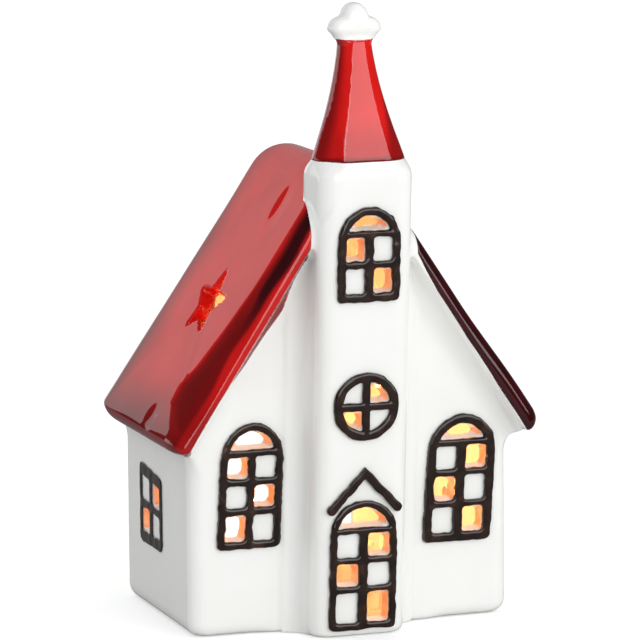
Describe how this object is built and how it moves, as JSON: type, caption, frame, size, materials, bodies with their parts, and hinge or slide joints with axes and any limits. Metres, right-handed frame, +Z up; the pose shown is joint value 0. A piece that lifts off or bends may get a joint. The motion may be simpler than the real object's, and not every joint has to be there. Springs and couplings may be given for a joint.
{
  "type": "church tealight holder",
  "caption": "Glazed ceramic church that holds a tealight: gable roof with a star cut-out, bell tower with spire and star, pierced windows in raised frames, open at the rear.",
  "frame": {"origin": "middle of the bounding box at the underside", "axes": "+Z up; the door and the tower face -Y; +X to the right as seen from the front"},
  "size_m": [0.1232, 0.0894, 0.2],
  "materials": {
    "white_glaze": "glossy white glaze",
    "red_glaze": "glossy deep red glaze",
    "brown_glaze": "glossy dark brown glaze, painted by hand over a relief",
    "aluminium": "thin pressed sheet, satin",
    "wax": "smooth white wax",
    "wick_cotton": "waxed cotton, charred at the tip",
    "tinned_steel": "thin tinned sheet"
  },
  "bodies": {
    "church": {"church_walls": "white_glaze", "bell_tower": "white_glaze", "gable_roof": "red_glaze", "tower_spire": "red_glaze", "star_finial": "white_glaze", "left_window_frame": "brown_glaze", "right_window_frame": "brown_glaze", "tower_window_frame": "brown_glaze", "rose_window_frame": "brown_glaze", "door_frame": "brown_glaze", "door_hood": "brown_glaze", "left_side_window_frame": "brown_glaze", "right_side_window_frame": "brown_glaze"},
    "tealight": {"tealight_cup": "aluminium"},
    "candle": {"tealight_wax": "wax", "tealight_wick": "wick_cotton", "wick_sustainer": "tinned_steel"}
  },
  "joints": [
    {"name": "tealight_slide", "type": "slide", "parent": "church", "child": "tealight", "axis": [0, 1, 0], "range_m": [0, 0.07]},
    {"name": "candle_lift", "type": "slide", "parent": "tealight", "child": "candle", "axis": [0, 0, 1], "range_m": [0, 0.02]}
  ]
}
